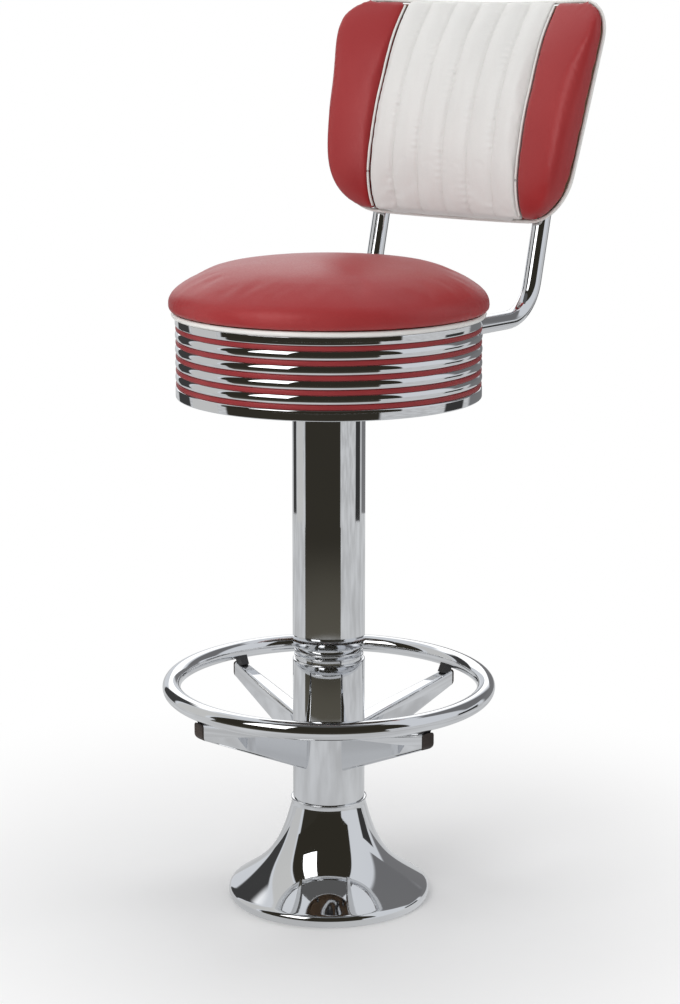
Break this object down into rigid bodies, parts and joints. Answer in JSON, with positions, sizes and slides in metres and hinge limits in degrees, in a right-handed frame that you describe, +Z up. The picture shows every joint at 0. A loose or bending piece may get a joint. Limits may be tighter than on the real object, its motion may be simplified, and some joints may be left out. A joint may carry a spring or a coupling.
{
  "type": "diner counter stool",
  "caption": "Swivelling counter stool with a domed round cushion in a ribbed ring, a padded backrest on a bent tube, and a foot ring on a trumpet-footed column.",
  "frame": {"origin": "on the column's axis at floor level, the centre of the floor flange's underside", "axes": "+Z up along the column, which is the swivel axis; at rest the sitter faces -Y, the backrest is on the +Y side and +X is on the sitter's left"},
  "size_m": [0.4109, 0.5418, 1.1005],
  "materials": {
    "chrome": "polished chrome plate",
    "black_paint": "semi-gloss black",
    "machined_steel": "zinc plated or turned steel",
    "bronze": "sintered bronze",
    "dark_plastic": "moulded, dark brown-black",
    "plywood": "birch plywood",
    "red_vinyl": "smooth upholstery vinyl, satin",
    "red_inlay": "pressed-in strip, satin",
    "white_vinyl": "smooth upholstery vinyl, satin",
    "white_piping": "smooth vinyl cord"
  },
  "bodies": {
    "pedestal": {"floor_flange": "black_paint", "bell_cover": "chrome", "centre_post": "black_paint", "lower_sleeve": "chrome", "collar_ring": "chrome", "column_tube": "chrome", "spacer_ring_1": "black_paint", "spacer_ring_2": "black_paint", "spacer_ring_3": "black_paint", "foot_arm_1": "chrome", "foot_arm_2": "chrome", "foot_arm_3": "chrome", "foot_arm_4": "chrome", "arm_cap_1": "dark_plastic", "arm_cap_2": "dark_plastic", "arm_cap_3": "dark_plastic", "arm_cap_4": "dark_plastic", "foot_ring": "chrome", "ring_saddles": "black_paint", "bearing_housing": "machined_steel", "upper_bush": "bronze", "lower_bush": "bronze", "lower_race": "machined_steel", "thrust_balls": "machined_steel", "ball_cage": "bronze"},
    "seat": {"upper_race": "machined_steel", "spindle": "machined_steel", "spindle_washer": "machined_steel", "spindle_nut": "machined_steel", "swivel_plate": "black_paint", "plate_screws": "machined_steel", "seat_board": "plywood", "seat_cushion": "red_vinyl", "seat_welt": "white_piping", "seat_ring": "chrome", "trim_strip_1": "red_inlay", "trim_strip_2": "red_inlay", "trim_strip_3": "red_inlay", "trim_strip_4": "red_inlay", "trim_strip_5": "red_inlay", "ring_brackets": "black_paint", "bracket_screws": "machined_steel", "back_frame": "chrome", "frame_clamps": "black_paint", "clamp_screws": "machined_steel", "back_board": "plywood", "back_centre_cushion": "white_vinyl", "back_left_cheek": "red_vinyl", "back_right_cheek": "red_vinyl", "back_rear_pad": "red_vinyl", "back_spacers": "machined_steel", "back_screws": "machined_steel", "back_welt": "white_piping", "inner_welt_left": "white_piping", "inner_welt_right": "white_piping"}
  },
  "joints": [
    {"name": "seat_swivel", "type": "hinge", "parent": "pedestal", "child": "seat", "pos_m": [0, 0, 0.7], "axis": [0, 0, 1], "continuous": true}
  ]
}
